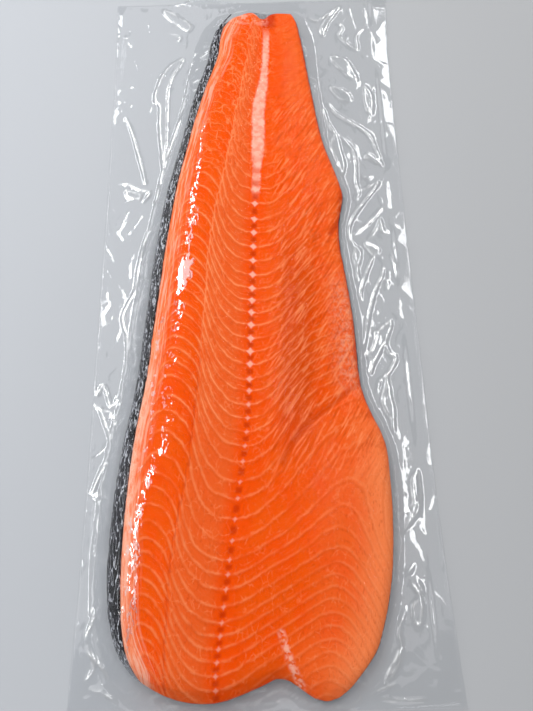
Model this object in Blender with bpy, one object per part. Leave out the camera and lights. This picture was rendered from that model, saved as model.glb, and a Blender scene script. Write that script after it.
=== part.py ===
"""Side of salmon, skin down, sealed under vacuum in a clear bag.

Blender units are metres. The bag lies flat on z = 0 with the origin under its centre. +Y points to
the tail, +X to the belly and -X to the back of the fish. Sizes in this file are in millimetres, and
the function metres() turns them into Blender's units.
"""

import math

import bmesh
import bpy
import numpy as np

MM = 0.001

# The bag: two sheets of film drawn together round the fillet and sealed at the edges.
BAG_WIDTH = 250.0
BAG_LENGTH = 606.0
BACK_EDGE_BOW = 3.0
BELLY_EDGE_BOW = 5.0
FLANGE_THICKNESS = 1.0
BASE_THICKNESS = 0.8
COLLAR_HEIGHT_BACK = 7.5
COLLAR_HEIGHT_BELLY = 5.5
COLLAR_CLEARANCE = 0.6
COLLAR_REACH = 3.2
# Rings of the film round the fillet: distance from it, and the most of the way to the bag's edge.
FLANGE_RINGS = ((0.8, 0.1), (3.0, 0.25), (7.0, 0.5), (20.0, 0.7), (BAG_LENGTH, 0.86), (BAG_LENGTH, 1.0))
FLAT_RINGS = 3
RIPPLE_HEIGHT = 1.3
RIPPLE_ACROSS = 9.0
RIPPLE_ALONG = 27.0
RIPPLE_SWING = 1.7
CORNER_LIFT = 3.0

# The skin wraps the underside and curls up the back of the fish. It is thinnest at the tail.
SKIN_THICKNESS = ((272, 1.1), (100, 2.0), (-40, 2.2), (-281, 2.2))
GAP = 0.3
SKIN_BOTTOM = BASE_THICKNESS + GAP
BELLY_EDGE_THICKNESS = 0.8
BELLY_ROUNDING = 9.0
BACK_ROUNDING = 30.0
UNDERCUT_SHARE = 1.25
WIDEST_HEIGHT = 0.28

# The fillet sits this far towards the tail from the middle of the bag.
FILLET_SHIFT = 1.5
TAIL_Y = 272.0
HEAD_Y = -281.0

# Outer edge of the skin along the back: distance along the fillet, then across it.
BACK_EDGE = (
    (272, -27), (262, -33.5), (250, -37), (225, -40.8), (195, -49.3), (160, -57), (130, -62.8),
    (85, -72), (38, -78.5), (-25, -84.3), (-90, -90), (-128, -96.3), (-195, -102.5), (-230, -102.3),
    (-255, -98.5), (-270, -92.3), (-281, -84),
)
# Belly edge, with the trimmed bulge at 75, the hollow at 38 and the step out to the belly flap at -110.
BELLY_EDGE = (
    (272, 41), (250, 44), (195, 50), (130, 58.5), (85, 70), (75, 71.5), (62, 67.5), (38, 65.4), (10, 68),
    (-25, 71.3), (-60, 72.8), (-90, 74), (-110, 80), (-128, 87), (-160, 88.9), (-195, 87.8), (-230, 83.3),
    (-255, 76.5), (-270, 70.5), (-281, 62),
)
# The line of the backbone, and the seam between the two muscles of the loin.
SPINE_LINE = ((272, 13), (225, 11), (130, 4), (60, -1), (-60, -6), (-120, -9), (-190, -18.5), (-281, -31))
SEAM_LINE = ((272, 2), (205, -8), (120, -21), (40, -34), (-60, -41), (-150, -49), (-215, -59.5), (-281, -62))
# How far the skin shows past the flesh along the back.
SKIN_BAND = ((272, 8), (235, 9.5), (130, 7.8), (50, 9.3), (-100, 8.6), (-200, 10.8), (-240, 10.2), (-281, 5))
# Height of the loin's crest, of the backbone line and of the belly edge.
CREST_HEIGHT = ((272, 10), (195, 15.5), (105, 22), (0, 28), (-130, 31.5), (-230, 29.5), (-281, 25))
SPINE_HEIGHT = ((272, 8), (195, 12.5), (105, 18), (0, 22.5), (-130, 26), (-230, 25), (-281, 21))
BELLY_HEIGHT = ((272, 7), (195, 9), (85, 12), (38, 10), (-60, 11), (-90, 10), (-128, 13), (-230, 13), (-281, 12))
SEAM_HEIGHT_SHARE = 0.96
MID_BELLY_SHARE = 0.62

# The cut ends bulge past the corners: share of the width from the back, then the bulge.
HEAD_BULGE = (
    (0, 0), (0.155, 12.5), (0.355, 16.6), (0.54, 8.5), (0.65, 3), (0.7, 7), (0.76, 14), (0.84, 17.3),
    (0.92, 12), (1, 0),
)
TAIL_BULGE = ((0, 0), (0.09, 8), (0.235, 12.5), (0.41, 15.5), (0.55, 13), (0.84, 12), (0.95, 9), (1, 0))
END_FADE = 0.12
END_ROUNDING = 16.0
TAIL_HEIGHT_SHARE = 0.72
HEAD_HEIGHT_SHARE = 0.55
# The flesh stops short of the skin at the tail, most of all in the notch over the backbone.
TAIL_PULL_BACK = 6.0
TAIL_PULL_BELLY = 0.6
TAIL_NOTCH = 8.0
TAIL_NOTCH_AT = 0.53
TAIL_NOTCH_WIDTH = 0.07

# How finely the solids are divided.
ROWS = 62
ROW_CROWDING = 0.07
CURL_STEPS = 4
WALL_STEPS = 4
TOP_STEPS = 16
EDGE_STEPS = 4
CORNER_SHARES = (0.75, 0.5, 0.3, 0.12)


def metres(point):
    return tuple(c * MM for c in point)


def clear_scene():
    for obj in list(bpy.data.objects):
        bpy.data.objects.remove(obj, do_unlink=True)


def make_material(name, colour, roughness, metallic=0.0, alpha=1.0):
    material = bpy.data.materials.new(name)
    material.use_nodes = True
    shader = material.node_tree.nodes["Principled BSDF"]
    shader.inputs["Base Color"].default_value = (*colour, 1.0)
    shader.inputs["Roughness"].default_value = roughness
    shader.inputs["Metallic"].default_value = metallic
    shader.inputs["Alpha"].default_value = alpha
    material.diffuse_color = (*colour, alpha)
    return material


def smooth_value(points, at):
    """The value at a place, on a smooth curve through (place, value) points."""
    places = np.array([p[0] for p in points], float)
    values = np.array([p[1] for p in points], float)
    order = np.argsort(places)
    places, values = places[order], values[order]
    slopes = np.gradient(values, places)
    slopes[0] = (values[1] - values[0]) / (places[1] - places[0])
    slopes[-1] = (values[-1] - values[-2]) / (places[-1] - places[-2])
    at = min(max(at, places[0]), places[-1])
    i = min(int(np.searchsorted(places, at, side="right")) - 1, len(places) - 2)
    span = places[i + 1] - places[i]
    t = (at - places[i]) / span
    start = values[i] * (1 + 2 * t) * (1 - t) ** 2 + slopes[i] * span * t * (1 - t) ** 2
    end = values[i + 1] * t * t * (3 - 2 * t) - slopes[i + 1] * span * t * t * (1 - t)
    return float(start + end)


def quarter(distance, radius):
    """0 at an edge and 1 past the rounding, along a quarter circle."""
    t = min(max(distance / radius, 0.0), 1.0)
    return math.sqrt(1 - (1 - t) ** 2)


def row_place(v):
    """Nominal distance along the fillet, closer together near its ends."""
    v = v - ROW_CROWDING * math.sin(2 * math.pi * v)
    return TAIL_Y + (HEAD_Y - TAIL_Y) * v


def end_shift(u, y):
    """How far a point moves along the fillet so that the end rows follow the cut ends."""
    length = TAIL_Y - HEAD_Y
    near_tail = max(0.0, 1 - (TAIL_Y - y) / (END_FADE * length)) ** 1.5
    near_head = max(0.0, 1 - (y - HEAD_Y) / (END_FADE * length)) ** 1.5
    return near_tail * smooth_value(TAIL_BULGE, u) - near_head * smooth_value(HEAD_BULGE, u)


def tail_pull(u, y):
    near_tail = max(0.0, 1 - (TAIL_Y - y) / (END_FADE * (TAIL_Y - HEAD_Y)))
    edge = TAIL_PULL_BACK + (TAIL_PULL_BELLY - TAIL_PULL_BACK) * u
    notch = TAIL_NOTCH * math.exp(-(((u - TAIL_NOTCH_AT) / TAIL_NOTCH_WIDTH) ** 2))
    return near_tail * (edge + notch)


class Row:
    """One cross-section of the fillet, in distance s from the back edge and height z."""

    def __init__(self, y):
        self.y = y
        self.back = smooth_value(BACK_EDGE, y)
        self.width = smooth_value(BELLY_EDGE, y) - self.back
        self.band = smooth_value(SKIN_BAND, y)
        seam = smooth_value(SEAM_LINE, y) - self.back
        spine = smooth_value(SPINE_LINE, y) - self.back
        self.rounding = min(BACK_ROUNDING, 0.6 * seam)
        self.crest = smooth_value(CREST_HEIGHT, y)
        spine_height = smooth_value(SPINE_HEIGHT, y)
        belly_height = smooth_value(BELLY_HEIGHT, y)
        rim = self.width - BELLY_ROUNDING
        middle = 0.5 * (spine + rim)
        self.ridge = (
            (self.rounding, self.crest),
            (seam, SEAM_HEIGHT_SHARE * self.crest),
            (spine, spine_height),
            (middle, belly_height + MID_BELLY_SHARE * (spine_height - belly_height)),
            (rim, belly_height),
        )
        self.widest = SKIN_BOTTOM + WIDEST_HEIGHT * (self.crest - SKIN_BOTTOM)
        self.skin = smooth_value(SKIN_THICKNESS, y)
        tail = TAIL_HEIGHT_SHARE + (1 - TAIL_HEIGHT_SHARE) * quarter(TAIL_Y - y, END_ROUNDING)
        head = HEAD_HEIGHT_SHARE + (1 - HEAD_HEIGHT_SHARE) * quarter(y - HEAD_Y, END_ROUNDING)
        self.end_share = min(tail, head)

    def lowered(self, z):
        """Height after the rounding towards the cut ends."""
        return SKIN_BOTTOM + (z - SKIN_BOTTOM) * self.end_share

    def wall_point(self, angle):
        """Outer surface above the widest line: angle 0 is the widest line and 90 degrees the crest."""
        s = self.rounding * (1 - math.cos(angle))
        z = self.widest + (self.crest - self.widest) * math.sin(angle)
        return s, self.lowered(z)

    def top_columns(self):
        rim = self.width - BELLY_ROUNDING
        return [self.rounding + (rim - self.rounding) * i / TOP_STEPS for i in range(1, TOP_STEPS + 1)]

    def flat_columns(self):
        """Places across the flat underside, from the belly edge to where the skin starts to curl."""
        near_belly = (self.width, self.width - 0.4 * BELLY_ROUNDING)
        return [*near_belly, *reversed(self.top_columns()), self.rounding]

    def end_columns(self):
        """Places along a cut end, from the belly corner to the back corner, without the corners."""
        return [*self.flat_columns()[1:], *(self.rounding * share for share in CORNER_SHARES)]

    def band_angle(self):
        return math.acos(1 - min(self.band / self.rounding, 1.0))

    def outer_path(self):
        """Outside of the skin, from the belly edge, under the fillet and up the back."""
        undercut = UNDERCUT_SHARE * (self.lowered(self.widest) - SKIN_BOTTOM)
        path = [(s, SKIN_BOTTOM) for s in self.flat_columns()]
        for i in range(CURL_STEPS):
            angle = 0.5 * math.pi * i / CURL_STEPS
            s = undercut * (1 - math.sin(angle))
            z = self.widest - (self.widest - SKIN_BOTTOM) * math.cos(angle)
            path.append((s, self.lowered(z)))
        for i in range(WALL_STEPS + 1):
            path.append(self.wall_point(self.band_angle() * i / WALL_STEPS))
        return path

    def top_path(self):
        """Top of the flesh, from the edge of the skin to the belly edge."""
        path = []
        start = self.band_angle()
        for i in range(1, WALL_STEPS + 1):
            path.append(self.wall_point(start + (0.5 * math.pi - start) * i / WALL_STEPS))
        for s in self.top_columns():
            path.append((s, self.lowered(smooth_value(self.ridge, s))))
        rim = self.width - BELLY_ROUNDING
        low = SKIN_BOTTOM + self.skin + GAP + BELLY_EDGE_THICKNESS
        for i in range(1, EDGE_STEPS + 1):
            angle = 0.5 * math.pi * i / EDGE_STEPS
            s = rim + BELLY_ROUNDING * math.sin(angle)
            z = low + (self.ridge[-1][1] - low) * math.cos(angle)
            path.append((s, max(self.lowered(z), low)))
        return path

    def place(self, s, z, pulled):
        """World position of a point of the section. Flesh is pulled back from the tail end."""
        u = s / self.width
        y = self.y + end_shift(u, self.y) + FILLET_SHIFT
        if pulled:
            y -= tail_pull(u, self.y)
        return self.back + s, y, z


def offset_inwards(path, distance):
    """The path moved to its inner side by a distance."""
    points = np.array(path, float)
    along = np.gradient(points, axis=0)
    along /= np.linalg.norm(along, axis=1)[:, None]
    inward = np.stack([along[:, 1], -along[:, 0]], axis=1)
    inward[0] = (0, 1)
    return [tuple(p) for p in points + inward * distance], tuple(along[-1])


def flesh_section(row):
    lower, along = offset_inwards(row.outer_path(), row.skin + GAP)
    last = row.outer_path()[-1]
    step = 1.5 * GAP
    lower[-1] = (lower[-1][0] + step * along[0], lower[-1][1] + step * along[1])
    lip = (last[0] + step * along[0], last[1] + step * along[1])
    return [row.place(s, z, True) for s, z in (*lower, lip, *row.top_path())]


def skin_section(row):
    outer = row.outer_path()
    inner, _ = offset_inwards(outer, row.skin)
    return [row.place(s, z, False) for s, z in (*outer, *reversed(inner))]


def loft(name, sections, material, parent):
    """A closed solid through loops of equally many points, with a face on the first and the last."""
    mesh = bmesh.new()
    rings = [[mesh.verts.new(metres(p)) for p in section] for section in sections]
    for first, second in zip(rings, rings[1:]):
        count = len(first)
        for i in range(count):
            j = (i + 1) % count
            mesh.faces.new((first[i], first[j], second[j], second[i]))
    for ring in (rings[0], rings[-1]):
        mesh.faces.new(ring)
    bmesh.ops.recalc_face_normals(mesh, faces=mesh.faces)
    bmesh.ops.triangulate(mesh, faces=mesh.faces)
    data = bpy.data.meshes.new(name)
    mesh.to_mesh(data)
    mesh.free()
    data.shade_smooth()
    data.set_sharp_from_angle(angle=math.radians(40))
    data.materials.append(material)
    obj = bpy.data.objects.new(name, data)
    bpy.context.scene.collection.objects.link(obj)
    obj.parent = parent
    return obj


def fillet_rows():
    return [Row(row_place(i / (ROWS - 1))) for i in range(ROWS)]


def edge_across(x, u, row):
    """Where on the bag's end a point of a cut end leads: straight on, but for the corners."""
    to_back = (-BAG_WIDTH / 2 - row.back) * (1 - u) ** 4
    to_belly = (BAG_WIDTH / 2 - row.back - row.width) * u**12
    return x + to_back + to_belly


def long_edge(row, side, bow):
    """Where on a long edge of the bag a row leads. The vacuum draws the edge in along its middle."""
    along = 2 * (row.y - HEAD_Y) / (TAIL_Y - HEAD_Y) - 1
    return side * (BAG_WIDTH / 2 - bow * (1 - along**4)), along * BAG_LENGTH / 2


def ring_places(rows):
    """Points round the fillet, each with its point on the bag's edge and its collar height."""
    half_length = BAG_LENGTH / 2
    tail, head = rows[0], rows[-1]
    places = []
    for row in rows:
        places.append((row.place(0, 0, False), long_edge(row, -1, BACK_EDGE_BOW), COLLAR_HEIGHT_BACK))
    for s in reversed(head.end_columns()):
        u = s / head.width
        height = COLLAR_HEIGHT_BACK + (COLLAR_HEIGHT_BELLY - COLLAR_HEIGHT_BACK) * u
        point = head.place(s, 0, False)
        places.append((point, (edge_across(point[0], u, head), -half_length), height))
    for row in reversed(rows):
        edge = long_edge(row, 1, BELLY_EDGE_BOW)
        places.append((row.place(row.width, 0, False), edge, COLLAR_HEIGHT_BELLY))
    for s in tail.end_columns():
        point = tail.place(s, 0, False)
        edge = (edge_across(point[0], s / tail.width, tail), half_length)
        places.append((point, edge, COLLAR_HEIGHT_BELLY))
    return places


def flange_wave(x, y):
    """Lift of the loose film above the table, never negative."""
    swing = RIPPLE_SWING * math.sin(y / (1.5 * RIPPLE_ALONG))
    ripple = 0.5 + 0.5 * math.sin(x / RIPPLE_ACROSS + swing) * math.cos(y / RIPPLE_ALONG)
    corner = (abs(x) / (BAG_WIDTH / 2) * abs(y) / (BAG_LENGTH / 2)) ** 6
    return RIPPLE_HEIGHT * ripple + CORNER_LIFT * corner


def bag_sections(rows):
    places = ring_places(rows)
    outline = np.array([p[0][:2] for p in places])
    edge = np.array([p[1] for p in places])
    height = np.array([p[2] for p in places])
    along = np.roll(outline, -1, axis=0) - np.roll(outline, 1, axis=0)
    along /= np.linalg.norm(along, axis=1)[:, None]
    outline = outline + np.stack([along[:, 1], -along[:, 0]], axis=1) * COLLAR_CLEARANCE
    span = np.linalg.norm(edge - outline, axis=1)

    def ring(reach, share):
        t = np.minimum(reach / span, share)[:, None]
        return outline * (1 - t) + edge * t, t[:, 0] * span, t[:, 0]

    def film_height(points, distance, share):
        fall = np.exp(-distance / COLLAR_REACH)
        wave = np.array([flange_wave(x, y) for x, y in points])
        return FLANGE_THICKNESS + (height - FLANGE_THICKNESS) * fall + wave * share

    def section(points, heights):
        return [(x, y, z) for (x, y), z in zip(points, heights)]

    level = np.full(len(places), BASE_THICKNESS)
    sections = [section(outline, level), section(outline, height)]
    rings = [ring(*reach_and_share) for reach_and_share in FLANGE_RINGS]
    sections += [section(p, film_height(p, d, s)) for p, d, s in rings]
    for points, _, share in reversed(rings[FLAT_RINGS:]):
        lift = np.array([flange_wave(x, y) for x, y in points]) * share
        sections.append(section(points, lift))
    sections.append(section(rings[FLAT_RINGS - 1][0], level * 0))
    sections.append(section(outline, level * 0))
    return sections


def build():
    clear_scene()
    pack = bpy.data.objects.new("salmon_pack", None)
    bpy.context.scene.collection.objects.link(pack)
    flesh = make_material("salmon_flesh", (0.95, 0.2, 0.04), 0.35)
    skin = make_material("salmon_skin", (0.045, 0.05, 0.06), 0.4)
    film = make_material("clear_film", (0.86, 0.88, 0.9), 0.12, alpha=0.35)
    rows = fillet_rows()
    loft("fillet_flesh", [flesh_section(row) for row in rows], flesh, pack)
    loft("fillet_skin", [skin_section(row) for row in rows], skin, pack)
    loft("vacuum_bag", bag_sections(rows), film, pack)


build()
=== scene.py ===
"""Looks of a side of salmon sealed under vacuum in a clear bag.

Lengths in the tables are millimetres, on the axes of the solids: +Y points to the tail, +X to the
belly, -X to the back of the fish. Meshes are in metres. Creases of the film are given by where they
show in the picture, and the camera carries them to the film.
"""

import math
from types import SimpleNamespace

import bpy
import numpy as np
from mathutils import Euler, Matrix, Vector, noise
from mathutils.bvhtree import BVHTree


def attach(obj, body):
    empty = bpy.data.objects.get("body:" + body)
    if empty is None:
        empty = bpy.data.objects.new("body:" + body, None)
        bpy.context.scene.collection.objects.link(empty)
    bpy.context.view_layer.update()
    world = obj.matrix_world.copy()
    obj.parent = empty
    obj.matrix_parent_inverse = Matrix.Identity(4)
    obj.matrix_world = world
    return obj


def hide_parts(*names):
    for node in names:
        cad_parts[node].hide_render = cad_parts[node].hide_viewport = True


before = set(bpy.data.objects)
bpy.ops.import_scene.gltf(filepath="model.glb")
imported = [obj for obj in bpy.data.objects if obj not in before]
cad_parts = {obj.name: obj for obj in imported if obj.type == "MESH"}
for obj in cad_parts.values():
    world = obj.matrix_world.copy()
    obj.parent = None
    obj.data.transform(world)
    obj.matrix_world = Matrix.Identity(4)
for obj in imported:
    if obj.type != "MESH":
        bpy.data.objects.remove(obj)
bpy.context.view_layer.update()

MM = 0.001
PICTURE_WIDTH = 533
PICTURE_HEIGHT = 711

# The camera stands over the head end and looks down at the pack.
CAMERA_PLACE = (0.00458, -0.30415, 0.5456)
CAMERA_TURN = (0.4239, 0.00938, -0.02354)
SENSOR = 36.0
FOCAL_PIXELS = 800.0

# How far towards the tail the fillet's own zero lies in the frame.
SHIFT = 1.5
# Lines that the muscles follow: distance along the fillet, then across it.
SPINE = (
    (285, 14), (272, 13), (225, 11), (195, 8.6), (168, 4.2), (130, 3.0), (60, -1), (-60, -6), (-120, -9),
    (-190, -18.5), (-281, -31),
)
SEAM = (
    (285, 3), (272, 2), (205, -8), (120, -21), (40, -34), (-60, -41), (-150, -49), (-215, -59.5),
    (-281, -62),
)
BACK = (
    (285, -18), (272, -20), (250, -27), (225, -31), (195, -41), (160, -49), (130, -55), (85, -63.5),
    (38, -69), (-25, -75.5), (-90, -81.5), (-128, -87), (-195, -91.5), (-230, -92), (-255, -90), (-281, -80),
)
BELLY = (
    (285, 40), (250, 44), (195, 50), (130, 58.5), (85, 70), (62, 67.5), (38, 65.4), (10, 68), (-25, 71.3),
    (-90, 74), (-110, 80), (-128, 87), (-160, 88.9), (-195, 87.8), (-230, 83.3), (-255, 76.5), (-281, 62),
)
# Where the edges of the muscle segments meet the spine, then their spacing and number beyond both ends.
DOTS = (
    -275, -267.5, -260, -252, -242.5, -232, -223, -214, -202, -188, -174, -163, -149, -138, -128, -118,
    -108, -98, -89, -77, -67, -56.5, -45.5, -35, -25, -14.5, -2.5, 10, 23, 36, 48.5, 63.5, 77.5,
)
HEAD_SPACING = 8.0
HEAD_EXTRA = 30
TAIL_SPACING = 12.5
TAIL_EXTRA = 34
# How far a segment's edge climbs towards the tail: share of the way from spine to seam, then rise.
RISE_LOIN = (
    (0, 0), (0.2, 1.2), (0.37, 3.5), (0.5, 8), (0.65, 14.5), (0.78, 23.5), (0.88, 32), (0.95, 39.5), (1, 45),
)
LOIN_CLIMB = ((285, 0.55), (170, 0.85), (60, 0.9), (-35, 1.0), (-110, 1.0), (-200, 0.8), (-281, 0.62))
# The same from the seam to the back edge.
RISE_BACK = (
    (0, 0), (0.1, 6), (0.25, 12), (0.42, 16), (0.58, 17), (0.72, 12), (0.84, 0), (0.93, -18), (1, -45),
)
# The same from the spine to the belly, in millimetres across, at three places along the fillet.
RISE_BELLY_TAIL = (
    (0, 0), (6, 0.3), (14, 3), (21, 8.5), (27, 15.5), (33, 23), (39, 32), (46, 40), (56, 48), (80, 56),
)
RISE_BELLY_MID = ((0, 0), (8, 2), (17, 10), (23, 20), (32, 35), (38, 45), (50, 58), (70, 72), (100, 84))
RISE_BELLY_HEAD = (
    (0, 0), (12, 4), (25, 12), (38, 20), (52, 29), (62, 35), (70, 37), (78, 34), (88, 23), (100, 4),
    (120, -40),
)
BELLY_TAIL_PLACE = -45
BELLY_MID_PLACE = -105
BELLY_HEAD_PLACE = -212
# Furthest from the spine that the belly's edges are followed.
BELLY_REACH = 130
# Least and most segments in a millimetre.
SEGMENT_RANGE = (0.02, 2.0)


def smooth_value(points, at):
    """Values at places, on a smooth curve through (place, value) points."""
    table = np.array(sorted(points), float)
    places, values = table[:, 0], table[:, 1]
    slopes = np.gradient(values, places)
    at = np.clip(at, places[0], places[-1])
    i = np.clip(np.searchsorted(places, at, side="right") - 1, 0, len(places) - 2)
    span = places[i + 1] - places[i]
    t = (at - places[i]) / span
    start = values[i] * (1 + 2 * t) * (1 - t) ** 2 + slopes[i] * span * t * (1 - t) ** 2
    end = values[i + 1] * t * t * (3 - 2 * t) - slopes[i + 1] * span * t * t * (1 - t)
    return start + end


def smooth_step(value, low, high):
    t = np.clip((value - low) / (high - low), 0, 1)
    return t * t * (3 - 2 * t)


def bell(value, width):
    return np.exp(-((value / width) ** 2))


def wander(points, size, seed, octaves=2):
    """Smooth noise from -1 to 1 at points in millimetres, with lumps of about a size."""
    offset = Vector((seed * 17.3, seed * 5.1, seed * 9.7))
    scale = 1.0 / size
    found = [
        noise.fractal(Vector(p) * scale + offset, 1.0, 2.0, octaves, noise_basis="PERLIN_ORIGINAL")
        for p in points.tolist()
    ]
    return np.array(found)


def deselect_all():
    if bpy.context.mode != "OBJECT":
        bpy.ops.object.mode_set(mode="OBJECT")
    bpy.ops.object.select_all(action="DESELECT")


def take_up(obj):
    """Makes an object the only one selected, and the active one."""
    deselect_all()
    obj.select_set(True)
    bpy.context.view_layer.objects.active = obj


def vertex_places(obj):
    co = np.empty(len(obj.data.vertices) * 3)
    obj.data.vertices.foreach_get("co", co)
    return co.reshape(-1, 3)


def move_vertices(obj, co):
    obj.data.vertices.foreach_set("co", np.asarray(co, float).ravel())
    obj.data.update()


def vertex_normals(obj):
    normals = np.empty(len(obj.data.vertices) * 3)
    obj.data.vertices.foreach_get("normal", normals)
    return normals.reshape(-1, 3)


def write_on_vertices(obj, name, values):
    layer = obj.data.attributes.new(name, "FLOAT", "POINT")
    layer.data.foreach_set("value", np.asarray(values, np.float32))


def apply_modifier(obj, kind, **settings):
    take_up(obj)
    modifier = obj.modifiers.new(kind.title(), kind)
    for name, value in settings.items():
        setattr(modifier, name, value)
    bpy.ops.object.modifier_apply(modifier=modifier.name)


def copy_of_node(node, name):
    """A copy of a solid with its doubled vertices merged."""
    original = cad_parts[node]
    obj = bpy.data.objects.new(name, original.data.copy())
    bpy.context.scene.collection.objects.link(obj)
    obj.data.name = name
    obj.data.materials.clear()
    take_up(obj)
    bpy.ops.object.mode_set(mode="EDIT")
    bpy.ops.mesh.select_all(action="SELECT")
    bpy.ops.mesh.remove_doubles(threshold=0.00001)
    bpy.ops.mesh.customdata_custom_splitnormals_clear()
    bpy.ops.object.mode_set(mode="OBJECT")
    return obj


def finish_piece(obj, material, slot, *nodes):
    take_up(obj)
    bpy.ops.object.shade_smooth()
    obj.data.materials.clear()
    obj.data.materials.append(material)
    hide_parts(*nodes)
    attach(obj, "root")
    deselect_all()


class Signal:
    """An output of a shader node. Arithmetic on it adds Math nodes."""

    def __init__(self, paint, socket):
        self.paint = paint
        self.socket = socket

    def __add__(self, other):
        return self.paint.maths("ADD", self, other)

    def __radd__(self, other):
        return self.paint.maths("ADD", other, self)

    def __sub__(self, other):
        return self.paint.maths("SUBTRACT", self, other)

    def __rsub__(self, other):
        return self.paint.maths("SUBTRACT", other, self)

    def __mul__(self, other):
        return self.paint.maths("MULTIPLY", self, other)

    def __rmul__(self, other):
        return self.paint.maths("MULTIPLY", other, self)

    def __pow__(self, other):
        return self.paint.maths("POWER", self, other)


class Paint:
    """The node tree of one material."""

    def __init__(self, name):
        self.material = bpy.data.materials.new(name)
        self.material.use_nodes = True
        self.tree = self.material.node_tree
        self.tree.nodes.clear()

    def add(self, kind, settings=None, values=None, out=0):
        """Adds a node: its type, its settings, then the values or links of its sockets."""
        node = self.tree.nodes.new(kind)
        for name, value in (settings or {}).items():
            setattr(node, name, value)
        for name, value in (values or {}).items():
            socket = node.inputs[name]
            if isinstance(value, Signal):
                self.tree.links.new(value.socket, socket)
            else:
                socket.default_value = value
        return Signal(self, node.outputs[out])

    def maths(self, operation, first, second=0.0):
        return self.add("ShaderNodeMath", {"operation": operation}, {0: first, 1: second})

    def attribute(self, name):
        return self.add("ShaderNodeAttribute", {"attribute_name": name}, out="Fac")

    def position(self, stretch=(1.0, 1.0, 1.0)):
        """Place on the piece in millimetres, divided by a length for each axis."""
        place = self.add("ShaderNodeTexCoord", out="Object")
        factors = tuple(1.0 / (MM * s) for s in stretch)
        return self.add("ShaderNodeVectorMath", {"operation": "MULTIPLY"}, {0: place, 1: factors})

    def axis(self, name):
        """Place on the piece along one axis, in millimetres."""
        return self.add("ShaderNodeSeparateXYZ", {}, {0: self.position()}, name)

    def noise(self, stretch, detail=2.0, rough=0.5):
        """Noise from 0 to 1 with lumps of a size in millimetres, one size or one for each axis."""
        stretch = (stretch,) * 3 if isinstance(stretch, (int, float)) else stretch
        return self.noise_at(self.position(stretch), detail, rough)

    def noise_at(self, vector, detail=2.0, rough=0.5):
        values = {"Vector": vector, "Scale": 1.0, "Detail": detail, "Roughness": rough}
        return self.add("ShaderNodeTexNoise", {}, values)

    def vector(self, x, y, z):
        return self.add("ShaderNodeCombineXYZ", {}, {0: x, 1: y, 2: z})

    def web(self, stretch, bend):
        """Distance to the nearest edge of cells with bent borders."""
        sway = self.add("ShaderNodeTexNoise", {}, {"Vector": self.position(stretch), "Scale": 1.6}, 1)
        sway = self.add("ShaderNodeVectorMath", {"operation": "MULTIPLY"}, {0: sway, 1: (bend, bend, bend)})
        place = self.add("ShaderNodeVectorMath", {}, {0: self.position(stretch), 1: sway})
        return self.cells_at(place, "DISTANCE_TO_EDGE")

    def cells(self, stretch, feature="F1"):
        return self.cells_at(self.position(stretch), feature)

    def cells_at(self, vector, feature):
        return self.add("ShaderNodeTexVoronoi", {"feature": feature}, {"Vector": vector, "Scale": 1.0})

    def step(self, value, low, high):
        """0 below low and 1 above high, or the other way round where low is the higher."""
        values = {"Value": value, "From Min": low, "From Max": high}
        return self.add("ShaderNodeMapRange", {"interpolation_type": "SMOOTHSTEP"}, values)

    def mix(self, share, first, second):
        values = {0: share, 6: self.colour(first), 7: self.colour(second)}
        return self.add("ShaderNodeMix", {"data_type": "RGBA"}, values, 2)

    @staticmethod
    def colour(value):
        return value if isinstance(value, Signal) else (*value, 1.0)

    def bump(self, height, distance, strength):
        values = {"Height": height, "Distance": distance * MM, "Strength": strength}
        return self.add("ShaderNodeBump", {}, values)

    def output(self, shader):
        output = self.tree.nodes.new("ShaderNodeOutputMaterial")
        self.tree.links.new(shader.socket, output.inputs["Surface"])
        return self.material


def rgb(*channels):
    """A colour given as it shows on a screen, 0 to 255, in the light values that shaders take."""
    shares = [channel / 255 for channel in channels]
    return tuple(s / 12.92 if s <= 0.04045 else ((s + 0.055) / 1.055) ** 2.4 for s in shares)


def loin_rise(x, y):
    """Climb of the segments' edges on the back's side of the spine."""
    spine = smooth_value(SPINE, y)
    seam = smooth_value(SEAM, y)
    back = smooth_value(BACK, y)
    to_seam = np.clip((spine - x) / (spine - seam), 0, 1)
    past_seam = np.clip((seam - x) / (seam - back), 0, 1)
    climb = smooth_value(LOIN_CLIMB, y)
    return climb * smooth_value(RISE_LOIN, to_seam) + smooth_value(RISE_BACK, past_seam)


def belly_rise(x, y):
    """Climb of the segments' edges on the belly's side of the spine."""
    across = np.clip(x - smooth_value(SPINE, y), 0, BELLY_REACH)
    near_tail = smooth_value(RISE_BELLY_TAIL, across)
    middle = smooth_value(RISE_BELLY_MID, across)
    near_head = smooth_value(RISE_BELLY_HEAD, across)
    to_middle = smooth_step(y, BELLY_TAIL_PLACE, BELLY_MID_PLACE)
    to_head = smooth_step(y, BELLY_MID_PLACE, BELLY_HEAD_PLACE)
    rise = near_tail * (1 - to_middle) + middle * to_middle
    return rise * (1 - to_head) + near_head * to_head


def segment_count(along):
    """Number of segments, growing towards the tail, with a whole number at each dot."""
    towards_head = DOTS[0] - HEAD_SPACING * np.arange(HEAD_EXTRA, 0, -1)
    towards_tail = DOTS[-1] + TAIL_SPACING * np.arange(1, TAIL_EXTRA + 1)
    places = np.concatenate([towards_head, DOTS, towards_tail])
    return np.interp(along, places, np.arange(len(places)))


def segment_phase(x, y):
    rise = np.where(x < smooth_value(SPINE, y), loin_rise(x, y), belly_rise(x, y))
    return segment_count(y - rise)


def segment_marks(x, y):
    """Phase of the muscle segments, and the width of one segment across its edges."""
    step = 0.25
    phase = segment_phase(x, y)
    across = (segment_phase(x + step, y) - segment_phase(x - step, y)) / (2 * step)
    along = (segment_phase(x, y + step) - segment_phase(x, y - step)) / (2 * step)
    return phase, 1.0 / np.clip(np.hypot(across, along), *SEGMENT_RANGE)


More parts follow.
